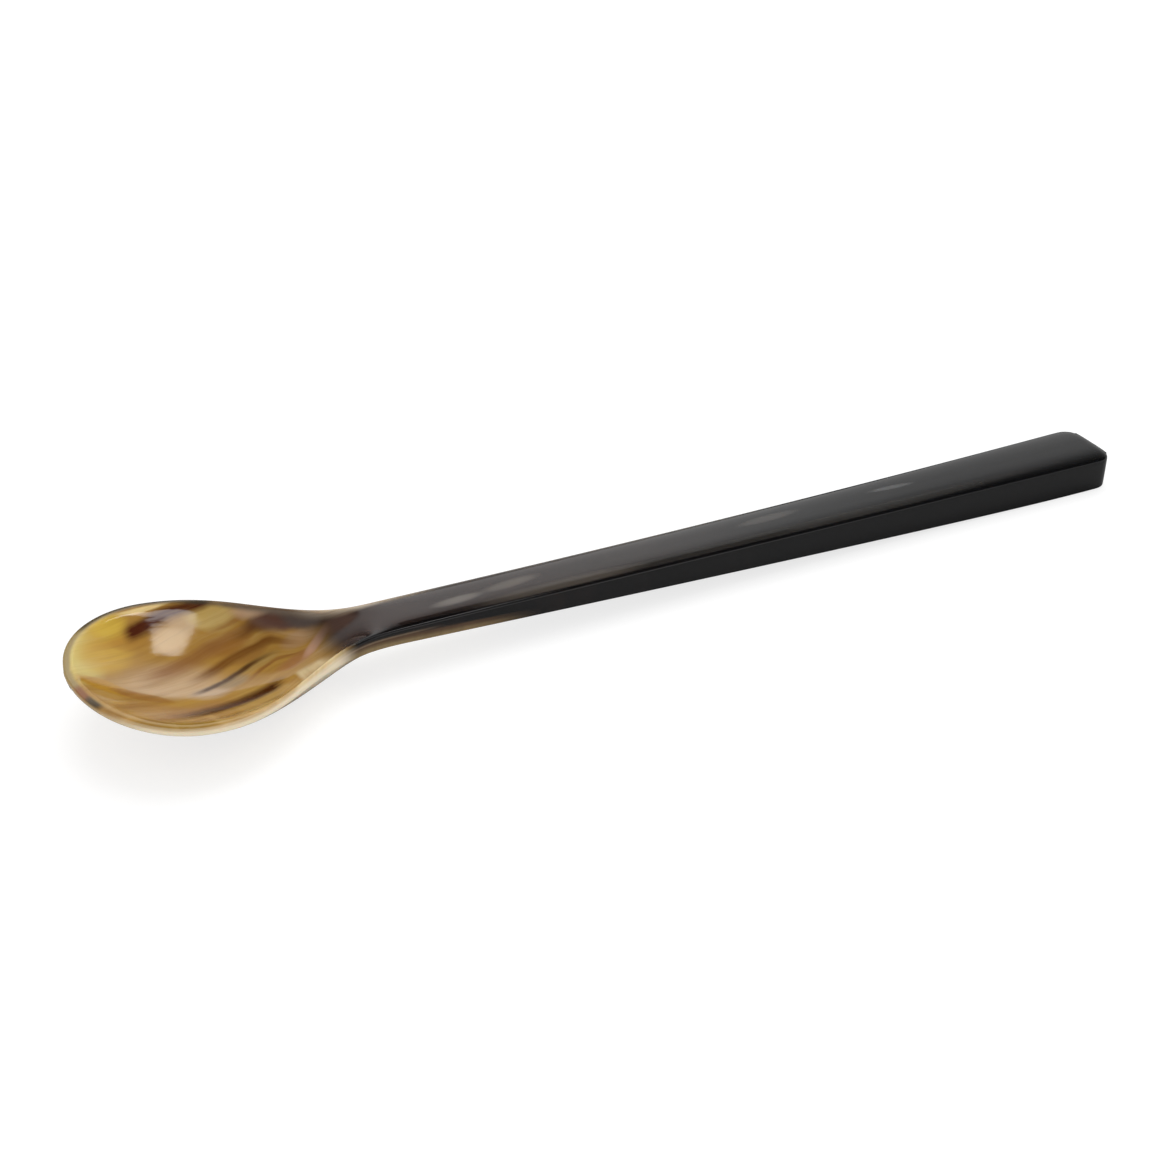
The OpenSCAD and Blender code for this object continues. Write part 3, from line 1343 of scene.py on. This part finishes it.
    def colour(self, spot: Spot) -> Shade:
        """Lays the horn's figure.

        Args:
            spot: Where a point lies.

        Returns:
            The colour.
        """
        nodes, x, y = spot.nodes, spot.x, spot.y
        waver = nodes.swing(x, y, self.waver)
        ripple = nodes.swing(x, y, self.ripple)
        wavy = replace(
            spot,
            x=x + waver * self.waver_along,
            y=y + waver * self.waver_across + ripple * self.ripple_across,
        )
        grain = self.grain(wavy)
        fibre = nodes.noise(x, grain, self.fibre)
        thread = nodes.noise(x, grain, self.thread)
        colour = wavy.patches(self.clouds, self.honey)
        colour = self.tints(wavy, fibre, thread, colour)
        for streak in self.streaks:
            mask = wavy.streak_mask(streak, grain)
            mask = mask * (thread * self.streak_thread + self.streak_least)
            colour = nodes.mix(mask.lower(1.0), colour, streak.colour)
        colour = wavy.patches(self.shoulder, colour)
        colour = self.rim(spot, wavy, colour)
        colour = self.crescent.lay(wavy, colour)
        colour = self.amber_edge_and_glow.lay(spot, colour)
        neck = x + y * self.neck_lean + waver * self.neck_waver
        return nodes.mix(neck.step(*self.neck), colour, self.dark_horn.colour(spot, thread))

    def material(self) -> bpy.types.Material:
        """Makes the material.

        Returns:
            The material, which reads Object coordinates and the way from the rim.
        """
        material, nodes = new_material("polished_horn")
        place = nodes.node("ShaderNodeTexCoord", {}, {})
        apart = nodes.node("ShaderNodeSeparateXYZ", {}, {0: nodes.output(place, "Object")})
        x, y = (nodes.output(apart, axis) * (1 / MM) for axis in "XY")
        tag = nodes.node("ShaderNodeAttribute", {"attribute_name": RIM_WAY}, {})
        spot = Spot(nodes, x, y, nodes.output(tag, "Fac"))
        rough = nodes.swing(x, y, self.polish) * self.roughness_change + self.roughness
        relief = {
            "Strength": self.relief_strength,
            "Distance": self.relief_mm * MM,
            "Height": nodes.noise(x, y, self.relief),
        }
        inputs = {
            "Base Color": self.colour(spot),
            "Roughness": rough,
            "IOR": self.ior,
            "Normal": nodes.add("ShaderNodeBump", {}, relief),
            "Subsurface Weight": self.depth_share,
            "Subsurface Radius": self.depth_reach,
            "Subsurface Scale": self.depth_mm * MM,
        }
        shader = nodes.add("ShaderNodeBsdfPrincipled", {}, inputs)
        nodes.node("ShaderNodeOutputMaterial", {}, {"Surface": shader})
        return material


@dataclass(frozen=True)
class PaleWall:
    """The pale wall under a dark ceiling that the spoon mirrors.

    Its bounds are parts of a direction one unit long: the height is upwards
    and the side is along the spoon.
    """

    glow: float = 1.0
    ceiling_glow: float = 0.03
    lean: float = 0.579
    slant: Span = (1.075, 0.738)
    top: Span = (0.86, 0.72)
    dim: Span = (0.42, 0.60)
    dim_share: float = 0.372
    foot: float = 0.39
    foot_lean: float = 0.5
    foot_fade: float = 0.22
    foot_fade_lean: float = 0.36
    least_fade: float = 0.03
    low: Span = (0.3, 0.05)
    low_glow: float = 0.03

    def light(self, side: Shade, height: Shade) -> Shade:
        """Says how bright each direction is in a reflection.

        Args:
            side: The direction's part along the spoon.
            height: Its part upwards.

        Returns:
            The strength of the light.
        """
        wall = (height + side * self.lean).step(*self.slant) * height.step(*self.top)
        wall = wall * (1 - side.step(*self.dim) * self.dim_share)
        fade = (self.foot_fade - side * self.foot_fade_lean).higher(self.least_fade)
        foot = (height + side * self.foot_lean - self.foot) / fade
        wall = wall * foot.step(-1.0, 1.0)
        bright = wall * (self.glow - self.ceiling_glow) + self.ceiling_glow
        return bright + height.step(*self.low) * self.low_glow


@dataclass
class Studio:
    """Camera, floor, surroundings and lamps."""

    camera_at: Point = (-0.08953, -0.16412, 0.11882)
    looks_at: Point = (-0.00796, 0.0, 0.004)
    lens_mm: float = 54.8
    sensor_mm: float = 36.0
    shift_y: float = -0.00513
    clip: Span = (0.01, 10.0)
    wall: PaleWall = PaleWall()
    ambient: float = 0.7
    # The box hangs at its reach above its spot, and its corners are shares of
    # that reach to the side.
    box_glow: float = 4.3
    box_reach: float = 0.55
    box_spot: Point = (-0.057, 0.0085, 0.005)
    box_corners: tuple[tuple[float, float], ...] = (
        (0.883, 0.807), (0.698, 0.601), (0.628, 0.483), (0.497, 0.269),
        (0.413, 0.151), (0.330, 0.046), (0.240, -0.058), (0.142, -0.158),
        (0.060, -0.240), (0.100, -0.380), (0.300, -0.120), (0.468, 0.126),
        (0.511, 0.180), (0.581, 0.286), (0.675, 0.435), (0.775, 0.607),
    )
    card_at: Point = (0.007, 0.010, 0.030)
    card_size: tuple[float, float] = (0.062, 0.016)
    floor_side: float = 6.0
    floor_grey: float = 0.3
    floor_pale: float = 0.85
    floor_glow: float = 0.75
    floor_roughness: float = 0.9
    lamp_at: Point = (0.2, 0.3, 0.9)
    lamp_side: float = 0.8
    lamp_watts: float = 6.0

    def camera(self) -> None:
        """Sets the camera where the photograph was taken from."""
        data = bpy.data.cameras.new("camera")
        data.lens = self.lens_mm
        data.sensor_width = self.sensor_mm
        data.shift_y = self.shift_y
        data.clip_start, data.clip_end = self.clip
        camera = bpy.data.objects.new("camera", data)
        bpy.context.scene.collection.objects.link(camera)
        camera.location = self.camera_at
        towards = Vector(self.looks_at) - Vector(self.camera_at)
        camera.rotation_mode = "QUATERNION"
        camera.rotation_quaternion = towards.to_track_quat("-Z", "Y")
        bpy.context.scene.camera = camera

    def surroundings(self) -> None:
        """Sets the world: white to the camera, the pale wall in reflections."""
        world = bpy.data.worlds.new("studio")
        bpy.context.scene.world = world
        world.use_nodes = True
        world.node_tree.nodes.clear()
        nodes = Nodes(world.node_tree)
        path = nodes.node("ShaderNodeLightPath", {}, {})
        mirrored = nodes.output(path, "Is Glossy Ray")
        through = nodes.output(path, "Is Transmission Ray")
        seen = nodes.output(path, "Is Camera Ray").higher(through)
        place = nodes.node("ShaderNodeTexCoord", {}, {})
        way = nodes.node("ShaderNodeSeparateXYZ", {}, {0: nodes.output(place, "Generated")})
        gloss = self.wall.light(nodes.output(way, "X"), nodes.output(way, "Z"))
        strength = seen.higher(mirrored * gloss + (1 - mirrored) * self.ambient)
        light = nodes.add("ShaderNodeBackground", {}, {"Color": WHITE, "Strength": strength})
        nodes.node("ShaderNodeOutputWorld", {}, {"Surface": light})

    def floor(self) -> None:
        """Lays the floor, white to the camera, which keeps the spoon's shadow."""
        floor = start_piece("floor", bpy.ops.mesh.primitive_plane_add, size=self.floor_side)
        material, nodes = new_material("pale_floor")
        path = nodes.node("ShaderNodeLightPath", {}, {})
        seen = nodes.output(path, "Is Camera Ray")
        bounced = nodes.output(path, "Is Diffuse Ray")
        inputs = {
            "Base Color": nodes.mix(bounced, (self.floor_grey,) * 3, (self.floor_pale,) * 3),
            "Roughness": self.floor_roughness,
            "Specular IOR Level": 0.0,
            "Emission Color": WHITE,
            "Emission Strength": seen * self.floor_glow,
        }
        shader = nodes.add("ShaderNodeBsdfPrincipled", {}, inputs)
        nodes.node("ShaderNodeOutputMaterial", {}, {"Surface": shader})
        floor.data.materials.append(material)
        LOG.info("%s is laid", floor.name)

    def soft_box(self) -> None:
        """Hangs the soft box whose mirror image lies in the back of the bowl."""
        box = start_piece(
            "soft_box",
            bpy.ops.mesh.primitive_circle_add,
            vertices=len(self.box_corners),
            fill_type="NGON",
        )
        for point, (x, y) in zip(box.data.vertices, self.box_corners):
            point.co = Vector(self.box_spot) + Vector((x, y, 1)) * self.box_reach
        box.data.materials.append(mirror_material("soft_box", self.box_glow))
        LOG.info("%s is hung", box.name)

    def card(self) -> None:
        """Hangs a small black card that keeps the soft box off the handle."""
        card = start_piece("black_card", bpy.ops.mesh.primitive_plane_add, size=1)
        for point in card.data.vertices:
            wide, deep = point.co.x * self.card_size[0], point.co.y * self.card_size[1]
            point.co = Vector(self.card_at) + Vector((wide, deep, 0))
        card.data.materials.append(mirror_material("black_card", 0.0))
        LOG.info("%s is hung", card.name)

    def lamp(self) -> None:
        """Hangs a broad soft lamp that shapes the spoon."""
        data = bpy.data.lights.new("soft_lamp", "AREA")
        data.shape = "SQUARE"
        data.size = self.lamp_side
        data.energy = self.lamp_watts
        lamp = bpy.data.objects.new("soft_lamp", data)
        bpy.context.scene.collection.objects.link(lamp)
        lamp.location = self.lamp_at
        lamp.rotation_mode = "QUATERNION"
        lamp.rotation_quaternion = (-Vector(self.lamp_at)).to_track_quat("-Z", "Y")
        lamp.visible_glossy = False

    def build(self) -> None:
        """Sets up the whole studio."""
        bpy.context.scene.view_settings.view_transform = "Standard"
        self.camera()
        self.surroundings()
        self.floor()
        self.soft_box()
        self.card()
        self.lamp()


def main() -> None:
    """Builds the spoon and the studio."""
    logging.basicConfig(level=logging.INFO, format="%(name)s: %(message)s")
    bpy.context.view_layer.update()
    spoon = Spoon().build()
    spoon.data.materials.clear()
    spoon.data.materials.append(HornFinish().material())
    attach(spoon, "root")
    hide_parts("spoon")
    LOG.info("%s has %d faces", spoon.name, len(spoon.data.polygons))
    Studio().build()


if __name__ == "__main__":
    main()
